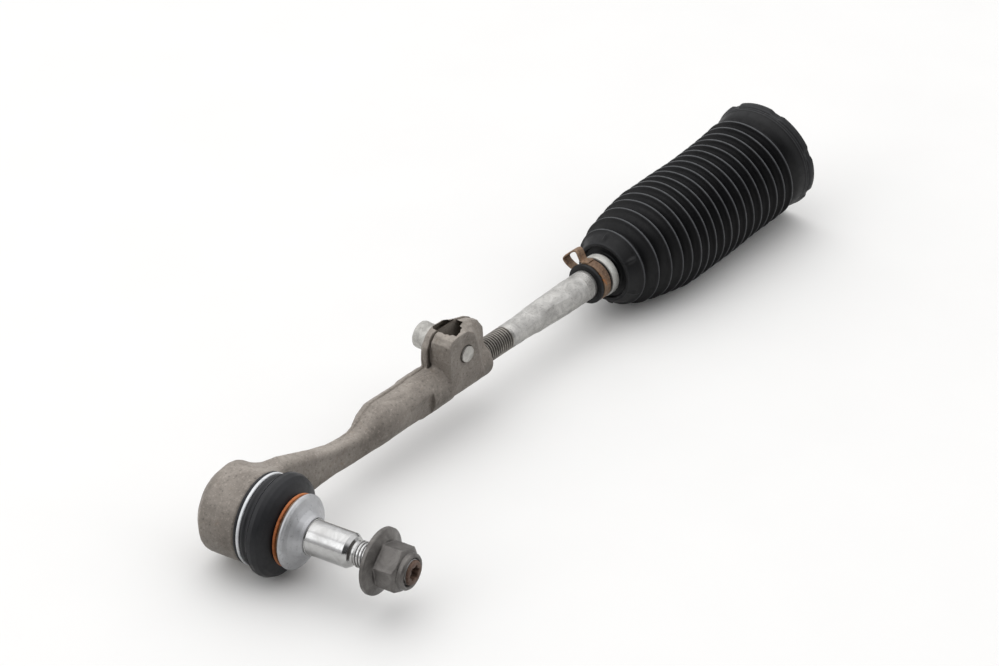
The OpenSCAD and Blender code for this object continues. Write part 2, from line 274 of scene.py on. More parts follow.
def placed(obj, body, slot, *nodes):
    """Hides the CAD nodes the piece replaces and hangs it on the body it rides on. The slot is not used."""
    if nodes:
        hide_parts(*nodes)
    if body:
        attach(obj, body)
    return obj


def rounded(points, radius=0.35, steps=3):
    """The profile with each corner turned into a small arc. A point may carry its own radius."""
    out = []
    count = len(points)
    for i, point in enumerate(points):
        p = np.array(point[:2], float)
        a = np.array(points[i - 1][:2], float) - p
        b = np.array(points[(i + 1) % count][:2], float) - p
        la, lb = np.linalg.norm(a), np.linalg.norm(b)
        r = point[2] if len(point) > 2 else radius
        cosine = np.clip(a @ b / max(la * lb, 1e-9), -1, 1)
        if r <= 0 or cosine < -0.995 or p[0] < 1e-6:
            out.append(tuple(p))
            continue
        half = math.acos(cosine) / 2
        cut = min(r / math.tan(half), 0.42 * la, 0.42 * lb)
        start, end = p + a / la * cut, p + b / lb * cut
        for k in range(steps + 1):
            t = k / steps
            q = (1 - t) ** 2 * start + 2 * t * (1 - t) * p + t * t * end
            out.append(tuple(q))
    return out


def subdivided(points, longest):
    """The closed profile with its long edges split, so that it bends and shades evenly."""
    out = []
    for i, p in enumerate(points):
        q = points[(i + 1) % len(points)]
        n = max(1, int(math.ceil(math.dist(p, q) / longest)))
        out += [(p[0] + (q[0] - p[0]) * k / n, p[1] + (q[1] - p[1]) * k / n) for k in range(n)]
    return out


def stud_points(r, d, theta):
    """Points in the shared frame from radius, distance along the stud, and angle round it."""
    r, d, theta = np.broadcast_arrays(r, d, theta)
    return (d[..., None] * STUD + (r * np.cos(theta))[..., None] * STUD_SIDE
            + (r * np.sin(theta))[..., None] * UP)


def rod_points(r, x, theta, z0=0.0):
    """Points in the shared frame from radius, distance along the rod, and angle round it, raised by z0."""
    r, x, theta, z0 = np.broadcast_arrays(r, x, theta, z0)
    return np.stack([x, -r * np.cos(theta), r * np.sin(theta) + z0], -1)


def ring_faces(rows, cols, closed):
    """Quads of a grid that is closed round its columns, and round its rows if closed is true."""
    i = np.arange(rows if closed else rows - 1)[:, None]
    j = np.arange(cols)[None, :]
    a = i * cols + j
    b = i * cols + (j + 1) % cols
    c = ((i + 1) % rows) * cols + (j + 1) % cols
    d = ((i + 1) % rows) * cols + j
    return np.stack([a, b, c, d], -1).reshape(-1, 4).tolist()


def lathe(name, profile, place, material, cols=96, bend=None, angle=32, longest=None):
    """A closed half section of (radius, distance) turned round an axis.

    bend(r, d, theta) may change the radii and distances.
    """
    if longest:
        profile = subdivided(profile, longest)
    r = np.array([p[0] for p in profile])[:, None]
    d = np.array([p[1] for p in profile])[:, None]
    theta = np.linspace(0, TAU, cols, endpoint=False)[None, :]
    r, d, theta = np.broadcast_arrays(r, d, theta)
    if bend:
        r, d = bend(r, d, theta)
    verts = place(np.maximum(r, 0.02), d, theta).reshape(-1, 3)
    return mesh_object(name, verts, ring_faces(len(profile), cols, True), material, angle)


# ---------------------------------------------------------------- solids from distance fields
def section_sd(x, y, points):
    """Signed distance to a closed 2D outline, below zero inside."""
    best = np.full(x.shape, 1e9)
    inside = np.zeros(x.shape, bool)
    for i, a in enumerate(points):
        b = points[i - 1]
        ex, ey = b[0] - a[0], b[1] - a[1]
        wx, wy = x - a[0], y - a[1]
        t = np.clip((wx * ex + wy * ey) / (ex * ex + ey * ey), 0, 1)
        best = np.minimum(best, (wx - ex * t) ** 2 + (wy - ey * t) ** 2)
        if a[1] != b[1]:
            inside ^= ((a[1] <= y) != (b[1] <= y)) & (x < (b[0] - a[0]) * (y - a[1]) / (b[1] - a[1]) + a[0])
    return np.where(inside, -np.sqrt(best), np.sqrt(best))


def joined(a, b, k):
    """Union of two fields, with a fillet of about k."""
    h = np.clip(0.5 + 0.5 * (b - a) / k, 0, 1)
    return b * (1 - h) + a * h - k * h * (1 - h)


def common(a, b, k):
    """Intersection of two fields, rounded by about k."""
    return -joined(-a, -b, k)


def lessened(a, b, k):
    """The first field with the second cut out, the edge rounded by about k."""
    return common(a, -b, k)


def surface(field, low, high, step):
    """A quad mesh on the zero of the field, with its vertices drawn onto the true surface."""
    axes = [np.arange(a, b + step, step) for a, b in zip(low, high)]
    p = np.stack(np.meshgrid(*axes, indexing="ij"), -1)
    f = field(p)
    inside = f < 0
    n = [s - 1 for s in f.shape]

    def shifted(g, c):
        return g[c[0]:c[0] + n[0], c[1]:c[1] + n[1], c[2]:c[2] + n[2]]

    corners = [(i, j, k) for i in (0, 1) for j in (0, 1) for k in (0, 1)]
    filled = sum(shifted(inside, c).astype(np.int8) for c in corners)
    active = (filled > 0) & (filled < 8)
    index = np.full(active.shape, -1)
    index[active] = np.arange(active.sum())
    cell = np.argwhere(active)
    total = np.zeros((len(cell), 3))
    count = np.zeros((len(cell), 1))
    for c in corners:
        for axis in range(3):
            if c[axis]:
                continue
            e = list(c)
            e[axis] = 1
            fa = f[tuple((cell + c).T)]
            fb = f[tuple((cell + e).T)]
            cross = (fa < 0) != (fb < 0)
            t = np.where(cross, fa / np.where(cross, fa - fb, 1.0), 0.0)[:, None]
            total += np.where(cross[:, None], cell + np.array(c) + t * (np.array(e) - np.array(c)), 0.0)
            count += cross[:, None]
    verts = np.array(low) + step * total / count
    for _ in range(3):
        value = field(verts)
        grad = np.stack([field(verts + np.eye(3)[k] * 0.02) - value for k in range(3)], -1) / 0.02
        size = np.maximum((grad ** 2).sum(-1, keepdims=True), 0.2)
        verts = verts - np.clip(value[:, None] * grad / size, -step * 0.5, step * 0.5)
    faces = []
    for axis in range(3):
        u, v = [k for k in range(3) if k != axis]
        lower = [slice(1, None)] * 3
        upper = [slice(1, None)] * 3
        lower[axis], upper[axis] = slice(0, -1), slice(1, None)
        a, b = inside[tuple(lower)], inside[tuple(upper)]
        at = np.argwhere(a != b)
        flip = a[tuple(at.T)] ^ (axis == 1)
        at = at + np.array([0 if k == axis else 1 for k in range(3)])
        du, dv = np.eye(3, dtype=int)[u], np.eye(3, dtype=int)[v]
        keep = np.all(at < np.array(active.shape), axis=1)
        at, flip = at[keep], flip[keep]
        quad = np.stack([index[tuple((at - du - dv).T)], index[tuple((at - dv).T)],
                         index[tuple(at.T)], index[tuple((at - du).T)]], -1)
        quad = np.where(flip[:, None], quad, quad[:, ::-1])
        faces.append(quad[(quad >= 0).all(1)])
    return verts, np.concatenate(faces).tolist()


def wobble(p, size, seed):
    """Smooth random unevenness made of a few waves, between about -1 and 1."""
    rng = np.random.default_rng(seed)
    total = 0.0
    for _ in range(7):
        direction = rng.normal(size=3)
        direction *= TAU / (size * np.linalg.norm(direction))
        total = total + np.sin(p @ direction + rng.uniform(0, TAU))
    return total / 4.0


# ---------------------------------------------------------------- forged housing
CUP = [(0, -12.9), (14.6, -12.9), (16.2, -12.2), (20.4, -8.6), (20.6, -7.6), (20.6, 8.4), (19.9, 9.4),
       (18.0, 9.6), (18.0, 12.9), (0, 12.9)]
CAVITY = [(0, -14), (12.6, -14), (12.6, -11.3), (11.4, -11.2), (15, -6.5), (15, 8.8), (12.4, 8.8),
          (12.4, 14), (0, 14)]
ARM_X = [4, 16, 25, 35, 45, 55, 65, 70, 75, 81, 87, 100, 126]
ARM_HALF_Z = [17.5, 15.2, 13.3, 10.75, 8.6, 7.1, 6.5, 6.4, 6.85, 8.5, 9.55, 9.5, 9.6]
ARM_Z = [0, 0.4, 0.7, 0.05, -1.4, -2.7, -3.6, -3.7, -3.05, -1.3, -0.15, 0, 0]
ARM_HALF_Y = [6.4, 5.6, 5.0, 4.4, 4.1, 4.0, 4.2, 4.7, 5.8, 7.9, 9.3, 9.4, 9.5]
ARM_Y = [-0.4, -0.6, -0.6, -0.6, -0.5, -0.5, -0.6, -0.6, -0.5, -0.2, 0, 0, 0]
ARM_ROUND = [3.4, 3.0, 2.8, 2.6, 2.6, 2.7, 2.9, 3.4, 4.6, 6.8, 8.4, 8.9, 9.3]
EAR = [(126.0, -3.0), (125.8, 23.6), (128.4, 26.6), (133.0, 27.3), (143.0, 27.1), (150.0, 25.2),
       (155.2, 22.4), (158.6, 17.2), (159.0, 10.0), (159.0, -3.0)]
EAR_FACE = [(127.4, -3.0), (126.9, 23.2), (128.9, 25.9), (133.0, 26.9), (139.6, 26.7), (144.4, 23.6),
            (147.3, 13.5), (150.0, 1.4), (151.0, -3.0)]
EAR_REAR = [(124.8, -3.0), (123.8, 12.0), (124.2, 20.0), (127.6, 25.0), (132.6, 27.6), (140.0, 27.4),
            (149.0, 24.0), (155.0, 18.0), (158.4, 8.0), (158.4, -3.0)]


def housing_field(p):
    x, y, z = p[..., 0], p[..., 1], p[..., 2]
    d = p @ STUD
    side = p @ STUD_SIDE
    r = np.sqrt(side ** 2 + z ** 2)
    cup = section_sd(r, d, CUP) - 0.15

    def at(values):
        return np.interp(x, ARM_X, values)

    corner = at(ARM_ROUND)
    qy = np.abs(y - at(ARM_Y)) - (at(ARM_HALF_Y) - corner)
    qz = np.abs(z - at(ARM_Z)) - (at(ARM_HALF_Z) - corner)
    outside = np.sqrt(np.maximum(qy, 0) ** 2 + np.maximum(qz, 0) ** 2)
    arm = outside + np.minimum(np.maximum(qy, qz), 0) - corner
    arm = common(arm, np.maximum(3 - x, x - 130), 0.4)
    body = joined(cup, arm, 3.2)
    axial = np.sqrt(y ** 2 + z ** 2)
    barrel = common(axial - 9.75, np.maximum(110 - x, x - 158.4), 1.4)
    body = joined(body, barrel, 2.0)
    taper = np.clip((-y - 3.0) / 7.15, 0, 1)
    outline = section_sd(x, z, EAR) * (1 - taper) + section_sd(x, z, EAR_FACE) * taper
    front = common(outline * 0.8, -10.15 - y, 0.3)
    front = common(front, y - 2.0, 0.3)
    rear = common(section_sd(x, z, EAR_REAR) + np.maximum(0, y - 3.6) * 0.5, y - 6.0, 0.6)
    rear = common(rear, -y, 0.3)
    bolt = np.sqrt((x - BOLT_X) ** 2 + (z - BOLT_Z) ** 2)
    boss = common(bolt - 8.4, np.maximum(y - 7.95, -y), 0.8)
    ears = joined(joined(front, rear, 0.5), boss, 1.4)
    body = joined(body, ears, 1.3)
    # the raised parting line along the top, and the flat pad low on the front
    line = (z - at(ARM_Z)) * 0.208 + (at(ARM_Y) - y) * 0.978
    trimmed = np.clip((x - 58) / 10, 0, 1) * np.clip((125.6 - x) / 2, 0, 1) * np.clip(z / 3, 0, 1)
    raised = 0.5 * np.clip((0.1 - line - 1.6) / 0.45 + 0.5, 0, 1)
    body = body + trimmed * (0.45 * np.exp(-((line + 1.05) / 0.42) ** 2) - raised)
    pad = common(8.2 + y * 0.99 + z * 0.139, np.abs(x - 108) - 8.0, 0.15)
    body = lessened(body, pad, 0.2)
    nick = np.sqrt((x - 102.6) ** 2 + (y + 9.1) ** 2 + (z + 2.6) ** 2) - 1.1
    body = lessened(body, nick, 0.4)
    # forged skin: broad unevenness, deeper on the ear's shoulder
    body = body + 0.10 * wobble(p, 13, 3) + 0.055 * wobble(p, 4.3, 5)
    shoulder = np.clip(1 - np.abs(y + 5.6) / 3.4, 0, 1) * np.clip((z - 12) / 6, 0, 1) * (x > 120)
    body = body + shoulder * 0.16 * wobble(p, 2.4, 9)
    # machined openings
    body = lessened(body, section_sd(r, d, CAVITY), 0.25)
    body = lessened(body, np.maximum(axial - 6.1, 104 - x), 0.5)
    slot = np.maximum(np.abs(y - 0.8) - 0.58, np.maximum(123.6 - x, -z))
    body = lessened(body, slot, 0.45)
    body = lessened(body, bolt - 4.3, 0.35)
    return body


# Known fault: this box ends at z = 27, just below the tops of both ears, and leaves them cut open.
HOUSING_LOW, HOUSING_HIGH = (-22, -18.5, -22), (160, 16.5, 27)
HOUSING_STEP = 0.5
SHELL = surface(housing_field, HOUSING_LOW, HOUSING_HIGH, HOUSING_STEP)
housing = mesh_object("forged_housing", *SHELL, "forged_steel", angle=50)
placed(housing, "housing", "forged_steel", "outer_housing")

cover = lathe("closing_cover_disc", rounded([(0, -12.5), (8.4, -12.5), (9.6, -12.9), (12.35, -12.9),
                                             (12.5, -12.4), (12.5, -11.35), (0, -11.35)]),
              stud_points, "cover_steel")
placed(cover, "housing", "cover_steel", "closing_cover")

ring = lathe("boot_clip", rounded([(19.6, 11.0), (20.8, 11.0), (21.1, 11.3), (21.1, 12.3), (20.8, 12.6),
                                   (19.6, 12.6)], 0.25), stud_points, "bright_steel", cols=160)
placed(ring, "housing", "bright_steel", "boot_base_ring")


# ---------------------------------------------------------------- rubber boot, in two parts
# where the lower part meets the upper one, on the boot's flank
SEAM = 18.2
BOOT_OUT = rounded([(18.1, 9.5), (20.7, 9.5, 0.3), (21.1, 10.0, 0.3), (21.0, 10.8, 0.3), (19.5, 11.0, 0.2),
                    (19.5, 12.4), (20.7, 12.7), (21.0, 14.2), (20.4, 15.6), (20.9, 16.5), (22.4, 17.2),
                    (23.5, 18.6), (23.55, 20.4), (22.7, 22.4), (20.8, 24.1), (18.0, 25.3), (15.8, 26.1),
                    (14.75, 26.5), (14.7, 28.6),
                    (15.3, 28.8), (15.3, 29.2), (13.7, 29.2), (13.7, 25.4), (16.6, 24.3), (19.3, 22.7),
                    (21.4, 20.8), (21.9, 19.4), (21.2, 18.2), (18.7, 16.3), (18.1, 15.2)], 0.9, 4)


def cut_profile(points, low, high):
    """The part of a closed profile between two distances, closed straight across the cuts."""
    fine = subdivided(points, 0.35)
    return [(r, min(max(d, low), high)) for r, d in fine if low - 0.36 < d < high + 0.36]


def fluted(r, d, theta):
    """Faint unevenness of a soft moulding."""
    lift = 0.10 * np.sin(3 * theta + 0.7) + 0.06 * np.sin(7 * theta + d * 0.3)
    weight = np.clip((r - 19.5) / 3, 0, 1) * np.clip((d - 15.5) / 3, 0, 1)
    return r + lift * weight, d


def boot_piece(name, low, high):
    return lathe(name, cut_profile(BOOT_OUT, low, high), stud_points, "boot_rubber", cols=144, bend=fluted,
                 angle=60)


lower = boot_piece("boot_lower", 9.0, SEAM)
placed(lower, None, "boot_rubber", "outer_boot")
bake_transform(lower)
upper = boot_piece("boot_upper", SEAM, 30)
placed(upper, None, "boot_rubber", "outer_boot")
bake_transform(upper)


def wire_ring(name, centre_r, centre_d, wire_r, material, flat=1.0):
    profile = [(centre_r + wire_r * math.cos(TAU * k / 14),
                centre_d + flat * wire_r * math.sin(TAU * k / 14)) for k in range(14)]
    return lathe(name, profile, stud_points, material, cols=144, angle=80)


copper = wire_ring("copper_wire_ring", 15.6, 27.35, 0.95, "copper_wire", 0.8)
placed(copper, "boot_neck", "copper_wire", "boot_neck_ring")
steel_wire = wire_ring("neck_wire_turn", 15.7, 28.8, 0.38, "spring_steel")
placed(steel_wire, "boot_neck", "copper_wire")

COLLAR = [(8.38, 22.5), (12.8, 22.5), (13.55, 23.3), (13.55, 29.35), (16.3, 29.35), (17.0, 29.8),
          (17.0, 30.8), (16.1, 31.7), (13.7, 32.5), (11.5, 33.8), (9.8, 35.6), (9.1, 37.1), (8.38, 37.2)]
collar = lathe("bell_collar", rounded(COLLAR, 0.5, 4), stud_points, "satin_steel", cols=128)
placed(collar, "boot_neck", "satin_steel", "stud_collar")


# ---------------------------------------------------------------- threads and the stud
def thread(name, root, crest, pitch, start, end, place, material, cols=60, fade=1.0):
    """A helical thread as one skin whose radius follows the turn."""
    rows = int((end - start) / (pitch / 12)) + 1
    d = np.linspace(start, end, rows)[:, None]
    theta = np.linspace(0, TAU, cols, endpoint=False)[None, :]
    d, theta = np.broadcast_arrays(d, theta)
    phase = (d / pitch - theta / TAU) % 1.0
    shape = np.clip(1.25 - np.abs(phase - 0.5) * 3.0, 0, 1)
    ends = np.clip((d - start) / fade, 0, 1) * np.clip((end - d) / fade, 0, 1)
    r = root + (crest - root) * shape * ends
    verts = place(r, d, theta).reshape(-1, 3)
    # the thread's height at each point, used to paint shade into the grooves
    wear_and_groove_shade = (shape * ends).reshape(-1)
    return mesh_object(name, verts, ring_faces(rows, cols, False), material, 60, attribute=wear_and_groove_shade)


STUD_TIP = 88.3


def torx(r, d, theta):
    """Six lobes in the wall of the socket in the stud's end."""
    recess = (r < 4.0) & (r > 0.5)
    return np.where(recess, r + 0.42 * np.cos(6 * theta), r), d


STUD_BODY = [(0, -11, 0), (3.6, -10.4, 2), (7.3, -8.2, 2), (10.0, -4.6, 2), (11, 0, 3), (10.0, 4.6, 2),
             (8.6, 6.9, 1), (6.4, 9.0, 1), (6.4, 14, 2), (8.3, 20, 1.5), (8.3, 37.35, 0.1), (7.9, 37.5, 0.1),
             (7.9, 56.4), (6.7, 58.2), (5.3, 59.1), (5.3, 60.2), (5.5, 61), (5.5, 85.4), (0, 85.4)]
stud = lathe("ball_stud_body", rounded(STUD_BODY, 0.4, 4), stud_points, "ground_steel", cols=128,
             longest=6)
placed(stud, "stud", "ground_steel", "ball_stud")
stud_thread = thread("stud_thread_skin", 5.2, 6.0, PITCH, 59.9, 87.6, stud_points, "stud_thread")
placed(stud_thread, "stud", "ground_steel")
STUD_END = [(5.5, 85.0), (5.6, 87.3), (5.1, STUD_TIP), (3.5, STUD_TIP, 0.3), (3.1, 88.0, 0.2),
            (2.9, 84.9, 0.2), (0, 84.9, 0), (0, 84.6, 0), (5.0, 84.6, 0)]
tip = lathe("stud_socket_end", rounded(STUD_END, 0.35), stud_points, "rusty_socket", bend=torx)
placed(tip, "stud", "ground_steel")


def nut_field(p):
    d = p @ STUD
    side = p @ STUD_SIDE
    z = p[..., 2]
    r = np.sqrt(side ** 2 + z ** 2)
    turn = math.radians(9)
    flats = np.max([np.abs(side * math.cos(a + turn) + z * math.sin(a + turn))
                    for a in (0, TAU / 6, TAU / 3)], 0)
    body = common(flats - 9.35, np.maximum(71 - d, d - 84.3), 0.12)
    body = common(body, (r - 9.75) * 0.5 + (d - 83.7) * 0.866, 0.15)
    flange = section_sd(r, d, [(0, 70), (14.8, 70), (15.1, 70.3), (15.1, 71.9), (14.7, 72.3),
                               (10.6, 73.9), (0, 73.9)])
    body = joined(body, flange - 0.05, 0.5)
    top = section_sd(r, d, [(0, 80), (8.2, 80), (8.2, 86.3), (7.5, 87.2), (0, 87.2)])
    body = joined(body, top, 0.3)
    body = body + 0.015 * wobble(p, 3.1, 21)
    bore = joined(r - 6.12, np.maximum(r - 7.0 + (87.3 - d) * 0.9, 0), 0.2)
    return lessened(body, np.minimum(r - 6.12, bore), 0.3)


NUT_REACH = 16.5
NUT_LOW = (NUT_BOX[0].x / MM - 1, NUT_BOX[0].y / MM - 1, -NUT_REACH)
NUT_HIGH = (NUT_BOX[1].x / MM + 1, NUT_BOX[1].y / MM + 1, NUT_REACH)
NUT_STEP = 0.34
NUT = surface(nut_field, NUT_LOW, NUT_HIGH, NUT_STEP)
nut = mesh_object("flange_nut", *NUT, "dark_steel", angle=34)
placed(nut, "nut", "dark_steel", "stud_nut")


# ---------------------------------------------------------------- pinch bolt and washer
def bolt_field(p):
    x, y, z = p[..., 0] - BOLT_X, p[..., 1], p[..., 2] - BOLT_Z
    r = np.sqrt(x ** 2 + z ** 2)
    shank = common(r - 3.98, np.maximum(-11.2 - y, y - 12), 0.35)
    head = common(r - 6.7, np.maximum(9.62 - y, y - 17.75), 0.9)
    body = joined(shank, head, 0.2)
    flats = np.max([np.abs(x * math.cos(a) + z * math.sin(a))
                    for a in (0.3, 0.3 + TAU / 6, 0.3 + TAU / 3)], 0)
    body = lessened(body, np.maximum(flats - 3.0, 13.8 - y), 0.3)
    return body + 0.04 * wobble(p, 2.6, 31)


BOLT_LOW, BOLT_HIGH, BOLT_STEP = (130.5, -11.8, 7), (146.5, 19, 23), 0.36
BOLT = surface(bolt_field, BOLT_LOW, BOLT_HIGH, BOLT_STEP)
bolt = mesh_object("pinch_bolt_body", *BOLT, "zinc_steel", angle=45)
placed(bolt, "housing", "zinc_steel", "pinch_bolt")


def bolt_points(r, d, theta):
    r, d, theta = np.broadcast_arrays(r, d, theta)
    return np.stack([BOLT_X + r * np.cos(theta), d, BOLT_Z + r * np.sin(theta)], -1)


WASHER = [(4.2, 8.0), (8.0, 8.0), (8.0, 9.3), (7.6, 9.6), (4.2, 9.6)]
washer = lathe("pinch_washer_disc", rounded(WASHER, 0.25), bolt_points, "forged_steel")
placed(washer, "housing", "zinc_steel", "pinch_washer")


# ---------------------------------------------------------------- rod
def wrench_flats(r, x, theta):
    """Six forged flats on the swelling, fading out towards the round end."""
    across = 6.75 + np.clip((x - 207) / 20, 0, 1) * 0.8
    step = TAU / 6
    nearest = (theta - 0.35 + step / 2) % step - step / 2
    flat = across / np.cos(nearest)
    zone = (x > 186) & (x < 228)
    uneven = 0.05 * np.sin(x * 0.9 + 2 * theta) + 0.04 * np.sin(x * 0.37 - 3 * theta)
    return np.where(zone, np.minimum(r, flat), r) + np.where((x > 180) & (x < 232) & (r > 5), uneven, 0), x


INNER_BALL_X = 322
INNER_BALL_R = 13.5
NECK_ANGLE = 31.2


def ball_rod():
    """Half section of the rod: thread core, swelling, four grooves, then the neck and the inner ball."""
    outer = [(0, 116, 0), (5.2, 116), (5.2, 178), (5.7, 178.8), (6.1, 179.4), (6.12, 190, 3), (6.5, 196, 3),
             (7.05, 201.5, 3), (7.45, 204.5, 3), (7.5, 208, 1), (7.5, 233.6, 0.1)]
    for k in range(4):
        x = 234.2 + k * 1.1
        outer += [(7.5, x, 0.08), (7.1, x + 0.25, 0.08), (7.1, x + 0.5, 0.08), (7.5, x + 0.75, 0.08)]
    outer += [(7.5, 296), (7.0, 300)]
    for k in range(15):
        a = math.radians(NECK_ANGLE + k * (180 - NECK_ANGLE) / 14)
        outer.append((INNER_BALL_R * math.sin(a), INNER_BALL_X - INNER_BALL_R * math.cos(a), 0))
    return outer


rod = lathe("rod_body", rounded(ball_rod(), 0.3, 3), rod_points, "rod_steel", cols=120, bend=wrench_flats,
            longest=1.2, angle=24)
placed(rod, "tie_rod", "rod_steel", "tie_rod")
rod_thread = thread("rod_thread_skin", 5.15, 6.0, PITCH, 116.2, 178.9, rod_points, "rod_thread", cols=72)
placed(rod_thread, "tie_rod", "rod_steel")


# ---------------------------------------------------------------- inner joint, seen only from the open end
HALF_ACROSS_FLATS = 32 / 2


def socket_flats(r, x, theta):
    """Two flats for a spanner on the housing of the inner joint."""
    across = np.abs(r * np.sin(theta))
    limit = np.where((x > 325) & (x < 341), HALF_ACROSS_FLATS, 99.0)
    return np.where(across > limit, limit / np.maximum(np.abs(np.sin(theta)), 1e-3), r), x


SOCKET = [(11.7, 308.4), (15.9, 308.4), (17.5, 310), (17.5, 338), (14.5, 340.5), (14.5, 345.5),
          (6.5, 345.5), (6.5, 347.6), (6.2, 348.4), (6.2, 365.2), (0, 365.2), (0, 335.9), (15.6, 335.9),
          (15.6, 310.4), (11.7, 310.4)]
socket = lathe("inner_socket_body", rounded(SOCKET, 0.4), rod_points, "socket_steel", bend=socket_flats)
placed(socket, "inner_socket", "socket_steel", "inner_socket")
rack_thread = thread("rack_thread_skin", 6.15, 7.0, PITCH, 347.8, 365.3, rod_points, "socket_steel",
                     cols=72)
placed(rack_thread, "inner_socket", "socket_steel")
tab = lathe("lock_washer_disc", rounded([(7.1, 345.52), (13.0, 345.52), (13.0, 347.1), (7.1, 347.1)], 0.2),
            rod_points, "zinc_steel", cols=96,
            bend=lambda r, x, t: (np.where(r > 12, r - 0.9 * (np.cos(4 * t) > 0.86), r), x))
placed(tab, "inner_socket", "zinc_steel", "lock_washer")


# ---------------------------------------------------------------- bellows
CREST_X = [261.6, 269.4, 277.3, 284.8] + [284.8 + 6.5 * k for k in range(1, 15)]
CREST_R = [20.2, 23.2, 25.0, 26.3, 27.2] + [28.0] * 9 + [28.1, 28.3, 28.5, 28.7]


BEND_X = 300.0
RIM_CLIMB = 7.0
RIM_LEAN = 15.0


def climb(x):
    """How far the middle of the bellows has risen above the rod's axis, growing from BEND_X to the rim."""
    return RIM_CLIMB * np.clip((x - BEND_X) / (RIM_X - BEND_X), 0, None) ** 2


def bellows_profile():
    """Outer skin from the neck to the rim, then back inside, as (r, x, how worn the skin is)."""
    out = [(7.7, BELLOWS_X, 0), (10.0, BELLOWS_X, 0), (10.3, BELLOWS_X + 0.3, 0.1), (10.3, 241.8, 0.1),
           (9.9, 242.1, 0), (9.4, 242.3, 0), (9.4, 248, 0), (9.4, 256.2, 0), (9.8, 256.5, 0),
           (13.2, 256.5, 0), (13.5, 256.1, 0), (13.6, 255.0, 0), (13.9, 254.6, 0.1), (15.1, 254.6, 0.1),
           (15.5, 254.9, 0.2), (15.9, 255.6, 0)]
    for i, (x, r) in enumerate(zip(CREST_X, CREST_R)):
        if i:
            vx = (CREST_X[i - 1] + x) / 2
            vr = (CREST_R[i - 1] + r) / 2 - 4.8
            out += [(vr + 0.5, vx - 0.42, 0), (vr, vx - 0.12, 0), (vr, vx + 0.12, 0),
                    (vr + 0.5, vx + 0.42, 0)]
        rise = 0.5 if i else 0.85
        out += [(r - 1.3, x - rise - 0.25, 0), (r - 0.35, x - 0.62, 0.0), (r - 0.08, x - 0.45, 0.6),
                (r, x - 0.2, 1.0), (r, x + 0.2, 1.0), (r - 0.08, x + 0.45, 0.6),
                (r - 0.35, x + 0.62, 0.0), (r - 1.3, x + 0.75, 0)]
    out += [(24.9, 378.5, 0), (24.5, 379.2, 0), (24.8, 380.1, 0), (26.2, 381.6, 0), (27.4, 383.2, 0),
            (28.1, 385.0, 0.05), (28.6, 386.7, 0.05), (28.8, 387.5, 0), (29.15, 387.9, 0.45),
            (29.0, 388.3, 0), (28.9, 388.8, 0), (29.3, 389.2, 0.45), (29.15, 389.6, 0), (29.1, 390.1, 0),
            (29.7, 390.6, 0.5), (30.0, 391.2, 0.15), (30.1, 393.0, 0.1), (30.0, 393.4, 0.4),
            (29.5, RIM_X, 0.2), (28.2, RIM_X, 0), (27.8, RIM_X - 0.4, 0), (27.8, 387.2, 0),
            (26.0, 384.4, 0), (23.0, 379.3, 0)]
    for i in range(len(CREST_X) - 1, -1, -1):
        x, r = CREST_X[i], CREST_R[i]
        out += [(r - 1.6, x + 0.3, 0), (r - 1.6, x - 0.3, 0)]
        if i:
            vx = (CREST_X[i - 1] + x) / 2
            out.append(((CREST_R[i - 1] + r) / 2 - 5.7, vx, 0))
    out += [(14.0, 258.2, 0), (9.0, 258.0, 0), (7.7, 257.6, 0)]
    return out


OUTER_SHARE = 0.74


def make_bellows():
    """The bellows and its cuff as one skin. OUTER_SHARE of the profile's points are the outside."""
    cols = 168
    raw = bellows_profile()
    fine = []
    for a, b in zip(raw, raw[1:] + raw[:1]):
        n = max(1, int(math.ceil(math.dist(a[:2], b[:2]) / 1.6)))
        fine += [tuple(a[k] + (b[k] - a[k]) * t / n for k in range(3)) for t in range(n)]
    r = np.array([q[0] for q in fine])[:, None]
    x = np.array([q[1] for q in fine])[:, None]
    wear_and_groove_shade = np.array([q[2] for q in fine])[:, None]
    theta = np.linspace(0, TAU, cols, endpoint=False)[None, :]
    r, x, wear_and_groove_shade, theta = np.broadcast_arrays(r, x, wear_and_groove_shade, theta)
    outer = np.broadcast_to((np.arange(len(fine)) < len(fine) * OUTER_SHARE)[:, None], r.shape)
    # ribs on the first cone
    gap = (theta - 0.62 + TAU / 12) % (TAU / 6) - TAU / 12
    rib = (np.exp(-(gap * 17 / 0.75) ** 2) * np.clip((x - 255.8) / 1.2, 0, 1)
           * np.clip((260.9 - x) / 1.5, 0, 1))
    r = r + np.where(outer & (r > 15.4), 1.4 * rib, 0)
    # folds are never quite true
    sway = 0.16 * np.sin(2 * theta + x * 0.07) + 0.10 * np.sin(5 * theta - x * 0.19)
    middle = np.clip((x - 262) / 15, 0, 1) * np.clip((384 - x) / 8, 0, 1)
    r = r + sway * middle
    # notches and lugs round the rim
    rim = (x > 390.3) & outer & (r > 28.1)
    notch = np.clip(1 - np.abs((theta * 7 / TAU + 0.1) % 1 - 0.5) * 8, 0, 1)
    r = np.where(rim, r - 0.9 * np.minimum(notch * 2.5, 1), r)
    lean = RIM_LEAN * np.clip(x - BEND_X, 0, None) / (RIM_X - BEND_X) ** 2
    verts = rod_points(r, x - lean * r * np.sin(theta), theta, climb(x)).reshape(-1, 3)
    return mesh_object("bellows_skin", verts, ring_faces(len(fine), cols, True), "bellows_rubber", 75,
                       attribute=wear_and_groove_shade.reshape(-1))


bellows = make_bellows()
placed(bellows, None, "bellows_rubber", "bellows", "bellows_cuff")
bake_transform(bellows)


